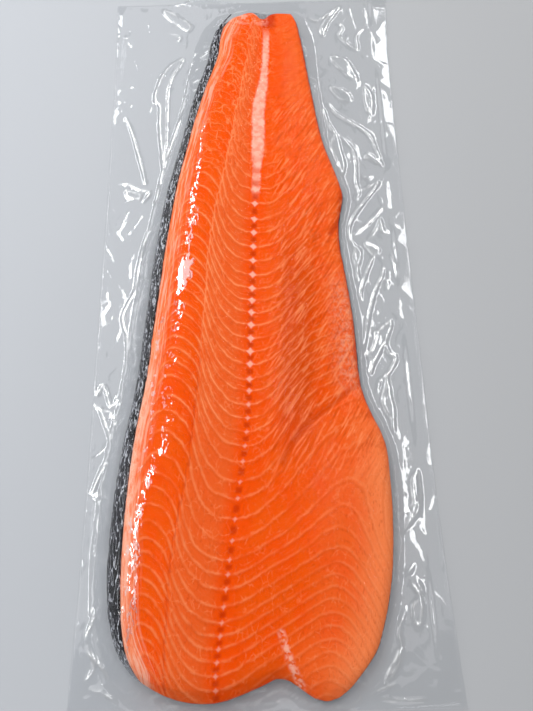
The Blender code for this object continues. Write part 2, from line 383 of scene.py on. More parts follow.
# The crease where the belly flap starts, the fold at the notch in the belly's edge, and the step at the
# notch in the head end: across, then along.
BELLY_CREASE = ((14, -150), (20, -139), (32, -122), (55, -102), (69, -89), (76, -84))
NOTCH_FOLD = ((58, 40), (64, 50), (70, 60))
HEAD_STEP = ((10, -258), (12, -265), (16, -277), (22, -290))


def path_distance(x, y, path):
    """Distance to a path of (x, y) points, and the place of the nearest point along it from 0 to 1."""
    path = np.array(path, float)
    best = np.full(x.shape, 1e9)
    place = np.zeros(x.shape)
    count = len(path) - 1
    for i in range(count):
        start, run = path[i], path[i + 1] - path[i]
        t = np.clip(((x - start[0]) * run[0] + (y - start[1]) * run[1]) / (run @ run), 0, 1)
        gap = np.hypot(x - start[0] - t * run[0], y - start[1] - t * run[1])
        nearer = gap < best
        best = np.where(nearer, gap, best)
        place = np.where(nearer, (i + t) / count, place)
    return best, place


# Where the loin's ridge catches the window's light, and how much steeper it rises there.
RIDGE = (
    (150, -42), (82, -47), (18, -52), (-46, -60.5), (-77, -64), (-143, -68), (-160, -75), (-212, -83),
    (-281, -84),
)
RIDGE_TILT = (
    (285, 0), (150, 0.05), (82, 0.11), (0, 0.13), (-143, 0.11), (-165, -0.04), (-231, -0.2), (-281, -0.1),
)
RIDGE_REACH = 13.0
# Half the width of the gleam along the ridge.
GLEAM = (
    (285, -0.6), (230, 0.4), (150, 0.5), (110, 1.0), (60, 1.6), (15, 1.9), (5, 4.2), (-12, 3.6), (-20, 2.0),
    (-55, 1.4), (-80, 1.8), (-145, 1.8), (-165, 2.4), (-190, 3.0), (-245, 2.6), (-262, 1.0), (-285, -0.4),
)
FLESH_VOXEL = 1.55
SMOOTH_SHARE = 0.5
SMOOTH_ROUNDS = 8
# Lumps of the flesh: height, size across, and that size as a share of their length.
BROAD_LUMPS = (0.7, 34.0, 1.0)
FINE_LUMPS = (0.16, 5.0, 0.35)
EDGE_LUMPS = (0.35, 3.4, 0.16)
EDGE_REACH = 7.0
# How far a segment's middle sinks below its edges: depth, the width that sinks in full, and the least share.
SEGMENT_SINK = 0.25
WIDE_SEGMENT = 10
LEAST_SINK = 0.15
# Depth and half width of each line in the flesh. The cord rises in the middle of the spine's groove.
SPINE_GROOVE = (0.55, 2.2)
SPINE_CORD = (0.35, 1.0)
SEAM_GROOVE = (0.22, 1.8)
CREASE_GROOVE = (1.3, 2.6)
NOTCH_GROOVE = (1.3, 2.6)
HEAD_STEP_GROOVE = (0.9, 2.2)


def groove(distance, shape):
    depth, half_width = shape
    return depth * bell(distance, half_width)


def lumps(flat, shape, seed):
    height, size, stretch = shape
    return height * wander(flat * (1.0, stretch, 1.0), size, seed)


def flesh_relief(x, y, fields, crease_place):
    """Height to add to the flesh at its points, in millimetres."""
    flat = np.stack([x, y, np.zeros_like(x)], axis=1)
    from_edge = 2 * np.abs(fields["segment"] - np.round(fields["segment"]))
    sink = SEGMENT_SINK * np.clip(fields["segment_gap"] / WIDE_SEGMENT, LEAST_SINK, 1)
    crease_ends = np.sin(math.pi * np.clip(crease_place, 0.02, 0.98))
    ridge = x - smooth_value(RIDGE, y)
    relief = lumps(flat, BROAD_LUMPS, 1) + lumps(flat, FINE_LUMPS, 2)
    relief -= sink * from_edge**2
    relief -= groove(fields["from_spine"], SPINE_GROOVE) - groove(fields["from_spine"], SPINE_CORD)
    relief -= groove(fields["from_seam"], SEAM_GROOVE)
    relief -= groove(fields["from_crease"], CREASE_GROOVE) * crease_ends
    relief -= groove(fields["from_notch"], NOTCH_GROOVE)
    relief -= groove(fields["from_head_step"], HEAD_STEP_GROOVE)
    relief += smooth_value(RIDGE_TILT, y) * ridge * bell(ridge, RIDGE_REACH)
    return relief + bell(fields["from_back"], EDGE_REACH) * lumps(flat, EDGE_LUMPS, 3)


def make_flesh():
    obj = copy_of_node("fillet_flesh", "salmon_flesh_side")
    apply_modifier(obj, "REMESH", mode="VOXEL", voxel_size=FLESH_VOXEL * MM)
    apply_modifier(obj, "SMOOTH", factor=SMOOTH_SHARE, iterations=SMOOTH_ROUNDS)
    co = vertex_places(obj) / MM
    x, y = co[:, 0], co[:, 1] - SHIFT
    up = np.clip(vertex_normals(obj)[:, 2], 0, 1)
    phase, gap = segment_marks(x, y)
    crease, crease_place = path_distance(x, y, BELLY_CREASE)
    fields = {
        "segment": phase,
        "segment_gap": gap,
        "from_spine": x - smooth_value(SPINE, y),
        "from_seam": x - smooth_value(SEAM, y),
        "from_back": x - smooth_value(BACK, y),
        "from_belly": smooth_value(BELLY, y) - x,
        "from_crease": crease,
        "from_notch": path_distance(x, y, NOTCH_FOLD)[0],
        "from_head_step": path_distance(x, y, HEAD_STEP)[0],
    }
    co[:, 2] += flesh_relief(x, y, fields, crease_place) * up
    move_vertices(obj, co * MM)
    for name, values in fields.items():
        write_on_vertices(obj, name, values)
    return obj


ORANGE = rgb(238, 84, 5)
DEEP_ORANGE = rgb(240, 76, 0)
ROSE = rgb(230, 96, 40)
PALE_BELLY = rgb(246, 142, 86)
PALE_BACK = rgb(246, 132, 88)
MEMBRANE = rgb(234, 146, 116)
# Darker orange: the flesh's own darker grain, pores and fibres, and also painted shade in the belly's
# valley, in the creases and beside the fat lines.
DARK_FLESH_AND_SHADE = rgb(190, 56, 1)
SEAM_RED = rgb(180, 38, 2)
FAT = rgb(250, 150, 98)
MILKY = rgb(252, 190, 164)
TENDON = rgb(248, 186, 164)
BLOOD = rgb(172, 22, 0)
# The belly's fibres lean by 30 degrees.
FIBRE_COSINE = 0.866
FIBRE_SINE = 0.5


# In the paints below, a step runs between two places or widths in millimetres, or two values of a noise.


def flesh_fields(p):
    """Places and noises that the flesh's colours are worked out from."""
    at = SimpleNamespace(across=p.axis("X"), along=p.axis("Y"))
    at.phase = p.attribute("segment")
    at.gap = p.attribute("segment_gap")
    at.spine = p.attribute("from_spine")
    at.seam = p.attribute("from_seam")
    at.back = p.attribute("from_back")
    at.belly = p.attribute("from_belly")
    at.away = p.maths("ABSOLUTE", at.spine)
    at.drift = p.noise(10.0) - 0.5
    at.jitter = p.noise(2.0) - 0.5
    at.soft = p.noise(4.5, 3.0)
    at.grain = p.noise((1.2, 3.2, 2.0), 3.0, 0.65)
    at.head = p.step(at.along, -90.0, -160.0)
    at.tail = p.step(at.along, 70.0, 130.0)
    at.beat = p.maths("PINGPONG", at.phase, 0.5)
    at.place = at.phase + at.drift * (p.step(at.along, 60.0, 140.0) * 0.9 + 0.34) + at.jitter * 0.16
    return at


def flesh_ground(p, at):
    """Orange, rosy inside the seam, deep at the spine, painted shade in the belly's valley and pale at both
    edges.
    """
    patch = p.noise((14.0, 22.0, 14.0))
    colour = p.mix(p.step(patch, 0.35, 0.7), ORANGE, DEEP_ORANGE)
    inner = p.step(at.spine, 0.0, -8.0) * p.step(at.seam, -2.0, 4.0)
    colour = p.mix(inner * 0.7, colour, ROSE)
    colour = p.mix(p.step(at.away, 12.0, 3.0) * 0.8, colour, DEEP_ORANGE)
    # Painted shade: the shallow valley on the belly's side is darkened in the colour.
    valley_shade = p.step(at.spine, 14.0, 28.0) * p.step(at.spine, 56.0, 36.0) * p.step(at.along, 70.0, -20.0)
    colour = p.mix(valley_shade * p.step(at.along, -160.0, -110.0) * 0.55, colour, DARK_FLESH_AND_SHADE)
    flap = p.step(at.belly, 34.0, 4.0) * (at.head * 0.8 + 0.2)
    colour = p.mix(flap * 0.7, colour, PALE_BELLY)
    lining = p.step(at.belly, 25.0, 6.0) * p.step(at.along, -102.0, -84.0) * p.step(at.along, 20.0, -25.0)
    mottle = p.step(p.noise((2.4, 3.4, 2.4), 3.0, 0.7), 0.42, 0.6)
    colour = p.mix(lining * (mottle * 0.75 + 0.1), colour, MEMBRANE)
    pores = p.step(p.noise(1.5, 1.0), 0.38, 0.28) * lining
    colour = p.mix(pores * 0.5, colour, DARK_FLESH_AND_SHADE)
    colour = p.mix(p.step(at.belly, 3.5, 0.5) * (1 - at.head) * 0.55, colour, SEAM_RED)
    colour = p.mix(p.step(at.back, 15.0, 4.0) * 0.75, colour, PALE_BACK)
    colour = p.mix(p.step(at.belly, 62.0, 34.0) * at.head * 0.14, colour, PALE_BELLY)
    colour = p.mix(p.step(at.grain, 0.52, 0.75) * 0.34, colour, ROSE)
    return p.mix(p.step(at.grain, 0.48, 0.28) * 0.4, colour, DARK_FLESH_AND_SHADE)


def fat_line_strength(p, at):
    """How white the segments' edges are: broken, and weaker at the spine, the belly's rim and both ends."""
    strength = p.step(p.noise((9.0, 13.0, 9.0), 3.0), 0.3, 0.62) * 0.85 + 0.15
    strength = strength * (p.step(at.away, 1.5, 6.5) * 0.6 + 0.4)
    strength = strength * (p.step(at.spine, 26.0, 4.0) * 0.4 + 0.6)
    strength = strength * (p.step(at.belly, 8.0, 30.0) * (1 - at.head) + at.head) * (1 - at.head * 0.45)
    return strength * (1 - at.tail * (p.step(at.spine, -2.0, 2.0) * 0.35 + 0.45))


def fat_lines(p, at, colour):
    """Fat at the segments' edges with its pale border and shadow, and fainter lines between them."""
    strength = fat_line_strength(p, at)
    reach = p.maths("PINGPONG", at.place, 0.5) * at.gap
    line = p.step(reach, at.head * 0.5 + 0.72, 0.12) * strength
    halo = p.step(reach, 2.2, 0.3) * strength * 0.28
    shadow = p.step(p.maths("PINGPONG", at.place + 0.16, 0.5) * at.gap, 1.5, 0.2) * 0.16
    colour = p.mix(shadow, colour, DARK_FLESH_AND_SHADE)
    colour = p.mix(halo, colour, PALE_BELLY)
    twin = p.maths("PINGPONG", at.place + 0.3 + at.soft * 0.55, 0.5) * at.gap
    twin = p.step(twin, 0.6, 0.12) * p.step(p.noise(9.0), 0.5, 0.66)
    thirds = p.maths("PINGPONG", at.place * 3.0 + at.jitter * 1.2, 0.5) * at.gap * 0.3333
    thirds = p.step(thirds, 0.5, 0.1) * p.step(p.noise((6.0, 10.0, 6.0)), 0.42, 0.66)
    colour = p.mix(twin * (1 - at.head * 0.7) * 0.36, colour, FAT)
    colour = p.mix(thirds * (1 - at.head) * 0.16, colour, FAT)
    return p.mix(line * 0.62, colour, FAT), line


def fat_webs(p, at, colour):
    """A web of fat at the tail, most on the back's side, and a fine one from the seam to the belly."""
    web = p.step(p.web((8.5, 11.0, 8.5), 0.55), 0.055, 0.012) * p.step(p.noise(7.0), 0.38, 0.6)
    colour = p.mix(web * at.tail * (p.step(at.spine, 12.0, 0.0) * 0.45 + 0.1), colour, FAT)
    net = p.step(p.web((5.0, 7.5, 5.0), 0.7), 0.06, 0.012) * p.step(p.noise(6.0), 0.46, 0.64)
    return p.mix(net * p.step(at.seam, -16.0, -4.0) * 0.3, colour, FAT)


def belly_fibres(p, at, colour):
    """Slanting fibres of the belly between the head's flap and the tail."""
    lean = at.across * FIBRE_COSINE - at.along * FIBRE_SINE
    climb = at.across * FIBRE_SINE + at.along * FIBRE_COSINE
    fibres = p.noise_at(p.vector(lean * 0.5, climb * 0.045, 0.0), 3.0, 0.65)
    ribs = p.step(at.spine, 7.0, 20.0) * p.step(at.belly, -4.0, 2.0)
    ribs = ribs * p.step(at.along, -185.0, -120.0) * p.step(at.along, 230.0, 150.0)
    colour = p.mix(p.step(fibres, 0.53, 0.64) * ribs * 0.5, colour, FAT)
    return p.mix(p.step(fibres, 0.46, 0.34) * ribs * 0.45, colour, DARK_FLESH_AND_SHADE)


def back_streaks(p, at, colour):
    """Strokes combed along the back's edge, and the milky rim towards the head."""
    combed = p.noise_at(p.vector(at.back * 0.6, at.along * 0.03, 0.0), 3.0, 0.65)
    streak = p.step(combed, 0.49, 0.6) * p.step(at.back, 17.0, 6.0)
    colour = p.mix(streak * 0.6, colour, TENDON)
    colour = p.mix(p.step(combed, 0.47, 0.38) * p.step(at.back, 18.0, 6.0) * 0.7, colour, ORANGE)
    milky = p.step(at.back + at.drift * 8.0, 10.0, 3.0) * p.step(at.along, -50.0, -115.0)
    milky = milky * (1 - p.step(at.along, -185.0, -250.0) * 0.5)
    streaky = p.step(p.noise((2.2, 7.0, 2.2), 3.0, 0.65), 0.38, 0.58)
    return p.mix(milky * (streaky * 0.55 + 0.2), colour, MILKY), streak


def seam_line(p, at, colour):
    """The loin's seam, pale towards the tail and dark towards the head, with a kink at each segment."""
    wave = p.maths("ABSOLUTE", at.seam + at.drift * 3.4 + at.jitter * 1.6 + at.beat * 2.4 - 0.6)
    pale = p.step(wave, 0.9, 0.15) * p.step(at.along, -90.0, -30.0) * p.step(at.along, 240.0, 190.0)
    dark = p.step(wave, 1.1, 0.2) * p.step(at.along, -20.0, -90.0)
    dark = dark * (p.step(at.soft, 0.35, 0.55) * 0.6 + 0.4)
    colour = p.mix(pale * 0.5, colour, FAT)
    return p.mix(dark * 0.34, colour, SEAM_RED)


def crease_shades(p, colour):
    """The flap's crease and the notch's fold are dark, and the step at the head end is pale."""
    colour = p.mix(p.step(p.attribute("from_crease"), 3.5, 0.4) * 0.45, colour, DARK_FLESH_AND_SHADE)
    colour = p.mix(p.step(p.attribute("from_notch"), 3.0, 0.4) * 0.55, colour, SEAM_RED)
    head_step = p.step(p.attribute("from_head_step"), 3.5, 0.6) * p.step(p.noise(3.0), 0.35, 0.6)
    return p.mix(head_step * 0.7, colour, TENDON)


def spine_marks(p, at, colour):
    """White strip along the spine by the tail, dots towards the head with red between, and the cut end."""
    ragged = (p.noise(2.6, 3.0) - 0.5) * 4.2
    strip_half = p.step(at.along, 85.0, 120.0) * p.step(at.along, 215.0, 165.0) * 2.4 + 2.5
    strip = p.step(at.away + ragged, strip_half + 1.3, strip_half - 1.1)
    knots = p.step(at.away + ragged * 1.2, 4.2, 2.6) * (p.step(at.beat, 0.42, 0.05) * 0.75 + 0.25)
    strip_start = p.step(at.along, 92.0, 122.0)
    strip = strip * strip_start + knots * (1 - strip_start)
    strip = strip * p.step(at.along, 66.0, 84.0) * p.step(at.along, 264.0, 244.0)
    star = (at.away * 0.3) ** 0.8 + (at.beat * at.gap * 0.29) ** 0.8 + ragged * 0.12
    faint = p.step(at.along, -60.0, -130.0)
    dots = p.step(star + faint * 0.35, 1.2, 0.7) * p.step(at.along, 90.0, 74.0) * (1 - faint * 0.45)
    between = p.step(at.away + ragged * 0.4, 3.4, 0.8) * p.step(at.beat, 0.2, 0.42)
    between = between * p.step(at.along, 120.0, 60.0)
    colour = p.mix(between * 0.5, colour, BLOOD)
    colour = p.mix(strip * (p.step(at.soft, 0.35, 0.6) * 0.35 + 0.55), colour, TENDON)
    colour = p.mix(dots * 0.72, colour, TENDON)
    stain = p.step(at.along, 256.0, 268.0) * p.step(p.maths("ABSOLUTE", at.spine - 2.0) + ragged, 9.0, 3.0)
    colour = p.mix(stain * 0.6, colour, BLOOD)
    pale_end = p.step(at.along, 258.0, 276.0) * p.step(p.noise(5.0), 0.46, 0.6) * p.step(at.spine, 4.0, -2.0)
    return p.mix(pale_end * 0.5, colour, TENDON)


def flesh_paint():
    p = Paint("salmon_flesh_paint")
    at = flesh_fields(p)
    colour = flesh_ground(p, at)
    colour, line = fat_lines(p, at, colour)
    colour = fat_webs(p, at, colour)
    colour = belly_fibres(p, at, colour)
    colour, streak = back_streaks(p, at, colour)
    colour = seam_line(p, at, colour)
    colour = crease_shades(p, colour)
    colour = spine_marks(p, at, colour)
    relief = line * 0.35 + at.soft * 0.25 + at.grain * 0.3 + streak * 0.3
    normal = p.bump(relief, 0.4, 0.6)
    values = {"Base Color": colour, "Roughness": 0.55, "Specular IOR Level": 0.03, "Normal": normal}
    return p.output(p.add("ShaderNodeBsdfPrincipled", {}, values))


# The skin is cut finer up to this distance from the back's edge, and beyond these places at its ends.
SKIN_EDGE_REACH = 18.0
SKIN_TAIL_FROM = 255
SKIN_HEAD_FROM = -270
SKIN_CUTS = 3
# Its side is uneven up to this distance from the back's edge: height and size of the lumps.
SKIN_SIDE_REACH = 6.0
SKIN_LUMPS = (0.25, 9.0)
SKIN_WRINKLES = (0.16, 3.2)


def make_skin():
    obj = copy_of_node("fillet_skin", "salmon_skin_side")
    mesh = obj.data
    deselect_all()
    for polygon in mesh.polygons:
        x, y, _ = polygon.center / MM
        from_back = x - smooth_value(BACK, np.array(y - SHIFT))
        at_end = y > SKIN_TAIL_FROM or y < SKIN_HEAD_FROM
        polygon.select = bool(from_back < SKIN_EDGE_REACH or at_end)
    take_up(obj)
    bpy.ops.object.mode_set(mode="EDIT")
    bpy.ops.mesh.subdivide(number_cuts=SKIN_CUTS)
    bpy.ops.object.mode_set(mode="OBJECT")
    co = vertex_places(obj) / MM
    side = co[:, 0] - smooth_value(BACK, co[:, 1] - SHIFT) < SKIN_SIDE_REACH
    lump, lump_size = SKIN_LUMPS
    wrinkle, wrinkle_size = SKIN_WRINKLES
    uneven = lump * wander(co * (1.0, 0.5, 1.0), lump_size, 5) + wrinkle * wander(co, wrinkle_size, 6)
    co += vertex_normals(obj) * (uneven * side)[:, None]
    move_vertices(obj, co * MM)
    return obj


CHARCOAL = rgb(9, 8, 10)
SLATE = rgb(40, 38, 44)
# Silver of the skin, also used for painted glints on it.
SILVER_AND_GLINT = rgb(196, 198, 206)
UNDERSIDE = rgb(150, 152, 156)


def skin_paint():
    p = Paint("salmon_skin_paint")
    scales = p.cells((2.6, 3.4, 2.6))
    border = p.cells((2.6, 3.4, 2.6), "DISTANCE_TO_EDGE")
    speck = p.noise((1.6, 5.0, 1.6), 1.0, 0.6)
    glint_stroke = p.maths("ABSOLUTE", p.noise((3.2, 13.0, 3.2), 2.0, 0.55) - 0.5)
    clump = p.noise((5.0, 12.0, 5.0), 1.0)
    colour = p.mix(p.step(p.noise(7.0), 0.4, 0.62), CHARCOAL, SLATE)
    colour = p.mix(p.step(border, 0.12, 0.02) * 0.35, colour, SLATE)
    # Specks and long strokes: partly the skin's own silver flecks, partly painted glints of its wet gloss.
    colour = p.mix(p.step(speck, 0.66, 0.74) * p.step(clump, 0.35, 0.5) * 0.6, colour, SILVER_AND_GLINT)
    colour = p.mix(p.step(glint_stroke, 0.028, 0.01) * p.step(clump, 0.68, 0.54) * 0.95, colour, SILVER_AND_GLINT)
    low = p.step(p.axis("Z"), 4.0, 1.6) * p.step(p.axis("X"), -60.0, -20.0)
    colour = p.mix(low * 0.85, colour, UNDERSIDE)
    corner = p.step(p.axis("Y"), -262.0, -284.0) * 0.55
    colour = p.mix(corner, colour, SILVER_AND_GLINT)
    normal = p.bump(scales * 0.6 + speck * 0.5, 0.5, 0.8)
    values = {"Base Color": colour, "Roughness": 0.22, "Specular IOR Level": 0.3, "Normal": normal}
    return p.output(p.add("ShaderNodeBsdfPrincipled", {}, values))


# The bag: half its size, and how far the vacuum draws its long edges in.
BAG_HALF_WIDTH = 125.0
BAG_HALF_LENGTH = 303.0
BACK_BOW = 3.0
BELLY_BOW = 5.0
SEAL_WIDTH = 15.0
FILM_COLUMNS = 172
FILM_ROWS = 412
# Share of the columns, then of the bag's half width: closer together over the loose film.
COLUMN_PLACES = ((0, -1), (0.36, -0.45), (0.64, 0.45), (1, 1))
# Rows and columns of the upper sheet for each of the lower one.
UNDER_SHARE = 4
# The tent of film round the food: its slope, and the rounds that spread and then smooth it.
TENT_SLOPE = 0.95
TENT_ROUNDS = 16
TENT_BLUR = 2
# The film over the food: above the tent, above the smoothed food, and nearest to the food.
FILM_CLEARANCE = 0.16
FILM_BRIDGE = 0.3
FILM_NEAREST = 0.07
# Rounds of smoothing that draw it across the food's grooves, and the share of one round off the food.
FILM_TAUT = 10
LOOSE_SMOOTHING = 0.35
# The loose film: lowest height, usual height above it, and broad waves with their share of height on
# the back's side.
FILM_LOW = 0.35
FILM_LOOSE = 0.8
BROAD_WAVES = 0.9
BACK_SHARE = 0.35
# Heights of the wrinkles' crests on the loose film, broad and small.
FOLD_CRESTS = 0.22
SMALL_CRESTS = 0.08
CREST_SHARPNESS = 5
# The waved seal, and the waved edge on the back's side with what its waves gain towards the head.
SEAL_LIFT = 0.5
SEAL_WAVES = 0.7
EDGE_WAVES = 0.7
EDGE_WAVES_HEAD = 1.1
EDGE_REACH_IN = 24.0
# At the bag's ends the film comes down to this share of its height, within this distance.
END_SHARE = 0.35
END_REACH = 12.0
# Pleats of the tent: how they are stretched across and lean, and their size.
PLEAT_STRETCH = 0.4
PLEAT_LEAN = 0.6
PLEAT_SIZE = 8.0
# Height above the table at which the picture's creases are placed.
CREASE_LEVEL = 1.5
# Half widths of a fold and of its gloss, the shoulder of a pocket, and shares of its height.
FOLD_WIDTH = 0.95
CREASE_WIDTH = 0.85
POCKET_SHOULDER = 2.2
POCKET_TOP = 0.55
POCKET_RIM = 0.75
# A crease is worked out for the points within this distance of its middle, across and along.
CREASE_REACH = (60, 90)
# Height in metres from which the food is looked for.
ABOVE_ALL = 0.1


def bag_place(u, v):
    """Across and along the table for shares of the bag's width and length from -1 to 1."""
    bow = np.where(u < 0, BACK_BOW, BELLY_BOW) * (1 - v**4)
    return u * (BAG_HALF_WIDTH - bow), v * BAG_HALF_LENGTH


def picture_to_table(points):
    """Where points of the picture lie on the loose film, in millimetres."""
    turn = np.array(Euler(CAMERA_TURN).to_matrix())
    place = np.array(CAMERA_PLACE) / MM
    found = []
    for column, row in points:
        ray = turn @ (column - PICTURE_WIDTH / 2, PICTURE_HEIGHT / 2 - row, -FOCAL_PIXELS)
        spot = place + ray * ((CREASE_LEVEL - place[2]) / ray[2])
        found.append(spot[:2])
    return np.array(found)


def rounded_path(points, closed, steps=5):
    """A smooth path through points: a cubic for each stretch, led by the points on both sides of it."""
    points = np.array(points, float)
    count = len(points)
    path = []
    for i in range(count if closed else count - 1):
        if closed:
            a, b, c, d = (points[(i + k) % count] for k in (-1, 0, 1, 2))
        else:
            a, b, c, d = (points[min(max(i + k, 0), count - 1)] for k in (-1, 0, 1, 2))
        for t in np.arange(steps) / steps:
            square = 2 * a - 5 * b + 4 * c - d
            cube = 3 * b - a - 3 * c + d
            path.append(0.5 * (2 * b + (c - a) * t + square * t**2 + cube * t**3))
    path.append(points[0] if closed else points[-1])
    return np.array(path)


# Closed pockets of the film, by their outline in the picture: height in millimetres, then points.
POCKETS = (
    (1.2, (
        (182, 59), (167, 69), (158, 87), (155, 100), (160, 107), (160, 130), (162, 153), (163, 167),
        (166, 150), (167, 122), (169, 86), (181, 64),
    )),
    (1.3, (
        (149, 233), (143, 250), (138, 271), (135, 291), (123, 316), (127, 337), (130, 358), (136, 371),
        (138, 366), (135, 346), (136, 328), (139, 310), (144, 294), (147, 273), (150, 251), (156, 235),
    )),
    (0.9, ((164, 10), (179, 17), (190, 25), (188, 31), (181, 27), (168, 18))),
    (0.8, ((127, 191), (140, 195), (139, 199), (129, 197))),
    (1.1, ((94, 406), (104, 411), (112, 414), (117, 430), (121, 447), (116, 446), (107, 429), (101, 411))),
    (0.9, ((95, 496), (103, 496), (109, 500), (112, 508), (106, 510), (101, 502))),
    (1.0, ((340, 7), (333, 11), (327, 18), (321, 29), (323, 34), (328, 23))),
    (1.0, ((331, 57), (339, 57), (347, 61), (354, 73), (357, 80), (351, 78), (344, 72), (337, 66))),
    (0.9, ((331, 87), (339, 88), (347, 93), (351, 100), (345, 100), (337, 95))),
    (0.9, ((336, 135), (331, 147), (336, 158), (339, 168), (342, 174), (344, 165), (340, 150))),
    (1.0, ((365, 243), (379, 250), (374, 254), (369, 249))),
    (0.9, ((356, 250), (360, 250), (360, 259), (357, 265), (354, 257))),
    (1.3, (
        (364, 353), (371, 351), (376, 337), (376, 332), (391, 321), (387, 337), (376, 358), (370, 373),
        (372, 360),
    )),
    (1.0, ((387, 375), (386, 385), (383, 400), (387, 412), (393, 418), (393, 407), (390, 395))),
    (1.1, ((412, 480), (413, 493), (414, 503), (412, 511), (418, 511), (421, 497), (420, 483), (418, 472))),
    (1.0, ((400, 526), (399, 517), (405, 510), (411, 514), (407, 522))),
    (0.9, ((413, 605), (414, 618), (418, 628), (422, 618), (421, 600))),
    (0.9, ((364, 86), (366, 107), (372, 113), (371, 95))),
    (1.0, ((382, 165), (370, 159), (365, 158), (368, 154), (377, 160))),
    (1.0, ((400, 650), (399, 662), (393, 674), (386, 682), (390, 670), (396, 660))),
)
# Sharp folds of the film: height in millimetres, then points.
FOLDS = (
    (0.9, ((187, 98), (181, 116), (173, 141), (167, 159), (161, 179), (158, 197), (155, 203))),
    (1.0, ((127, 119), (133, 135), (138, 153), (143, 171), (146, 184))),
    (0.9, ((120, 184), (129, 185), (140, 190), (150, 193), (143, 202))),
    (0.7, ((170, 34), (181, 37), (178, 42))),
    (0.9, ((94, 383), (97, 395), (104, 386), (110, 404), (114, 405), (121, 395))),
    (0.7, ((114, 406), (122, 404), (132, 400))),
    (0.9, ((121, 452), (106, 464), (100, 475), (92, 494))),
    (0.7, ((112, 515), (105, 530), (104, 540))),
    (0.8, ((93, 553), (101, 562))),
    (0.8, ((97, 601), (92, 613), (98, 612), (89, 630), (88, 638))),
    (0.8, ((88, 646), (94, 668), (85, 684))),
    (0.9, ((308, 17), (316, 21), (327, 15), (333, 10))),
    (0.8, ((337, 23), (342, 29), (339, 34), (344, 41), (357, 50), (356, 37), (362, 29))),
    (1.2, ((328, 104), (336, 113), (348, 121), (360, 128), (370, 136), (375, 147), (382, 164))),
    (0.9, ((323, 107), (327, 121), (336, 135))),
    (1.0, ((339, 135), (348, 144), (354, 153), (356, 168), (356, 181), (359, 193), (354, 199))),
    (1.2, ((359, 191), (368, 187), (378, 182), (373, 191), (363, 203), (353, 217), (349, 228), (349, 239))),
    (0.9, ((351, 235), (366, 225), (382, 208))),
    (0.7, ((362, 176), (367, 178), (373, 177))),
    (0.9, ((368, 238), (376, 229), (380, 219), (383, 231), (389, 233))),
    (1.0, ((374, 254), (365, 276), (361, 290), (361, 299))),
    (1.1, ((383, 267), (382, 276), (376, 288), (371, 305), (367, 325), (364, 346))),
    (0.8, ((351, 242), (355, 247), (361, 250))),
    (0.8, ((357, 265), (358, 281))),
    (0.9, ((391, 254), (396, 268), (397, 279))),
    (0.7, ((384, 279), (388, 284), (386, 289))),
    (0.9, ((386, 336), (387, 348), (391, 355), (396, 358), (388, 374), (380, 380), (377, 391))),
    (0.8, ((393, 418), (394, 431))),
    (0.9, ((418, 512), (412, 520), (402, 532))),
    (0.7, ((414, 565), (406, 575))),
    (0.8, ((411, 583), (420, 595))),
    (0.7, ((415, 578), (423, 593))),
    (0.7, ((404, 613), (400, 625), (399, 635), (403, 650))),
    (0.8, ((380, 698), (403, 701), (428, 700))),
    (0.9, ((82, 650), (95, 660), (108, 676), (122, 690), (135, 700))),
    (0.8, ((90, 690), (104, 694), (118, 705))),
    (0.9, ((150, 703), (170, 706), (190, 710))),
    (0.8, ((246, 708), (262, 700), (276, 692), (290, 694))),
    (0.8, ((300, 703), (322, 707), (345, 706), (362, 699))),
    (0.9, ((372, 694), (384, 688), (395, 684))),
)


def within(x, y, path):
    """Which points lie inside a closed path."""
    inside = np.zeros(x.shape, bool)
    for (ax, ay), (bx, by) in zip(path[:-1], path[1:]):
        if ay == by:
            continue
        crosses = (ay > y) != (by > y)
        inside ^= crosses & (x < (bx - ax) * (y - ay) / (by - ay) + ax)
    return inside


def points_near(x, y, path):
    """Which points are within reach of a path's middle."""
    across, along = CREASE_REACH
    return (abs(x - path[:, 0].mean()) < across) & (abs(y - path[:, 1].mean()) < along)


def crease_relief(x, y):
    """Height that the pockets and folds add to the film at its points, and how far it is creased."""
    lift = np.zeros(x.shape)
    lines = np.zeros(x.shape)
    for height, outline in POCKETS:
        path = rounded_path(picture_to_table(outline), True)
        near = points_near(x, y, path)
        gap, _ = path_distance(x[near], y[near], path)
        inside = within(x[near], y[near], path)
        plateau = np.where(inside, smooth_step(gap, 0.0, POCKET_SHOULDER), 0.0)
        lift[near] += height * (POCKET_TOP * plateau + POCKET_RIM * bell(gap, FOLD_WIDTH))
        lines[near] = np.maximum(lines[near], POCKET_RIM * height * bell(gap, CREASE_WIDTH))
    for height, points in FOLDS:
        path = rounded_path(picture_to_table(points), False)
        near = points_near(x, y, path)
        gap, place = path_distance(x[near], y[near], path)
        ends = np.sin(math.pi * np.clip(place, 0.04, 0.96)) ** 0.5
        lift[near] += height * bell(gap, FOLD_WIDTH) * ends
        lines[near] = np.maximum(lines[near], height * bell(gap, CREASE_WIDTH) * ends)
    return lift, lines


def heights_below(objects, points):
    """Height of the highest of some objects under each point, or 0."""
    top = np.zeros(len(points))
    depsgraph = bpy.context.evaluated_depsgraph_get()
    for obj in objects:
        tree = BVHTree.FromObject(obj, depsgraph)
        for i, (x, y) in enumerate(points.tolist()):
            hit = tree.ray_cast(Vector((x * MM, y * MM, ABOVE_ALL)), Vector((0, 0, -1)))[0]
            if hit is not None:
                top[i] = max(top[i], hit.z / MM)
    return top


def grown(field, slope, spacing, rounds):
    """The field with each point raised to a cone of a slope round every other."""
    for _ in range(rounds):
        for axis, sign in ((0, 1), (0, -1), (1, 1), (1, -1)):
            field = np.maximum(field, np.roll(field, sign, axis) - slope * spacing[axis])
        for down in (1, -1):
            for right in (1, -1):
                moved = np.roll(np.roll(field, down, 0), right, 1)
                field = np.maximum(field, moved - slope * math.hypot(*spacing))
    return field


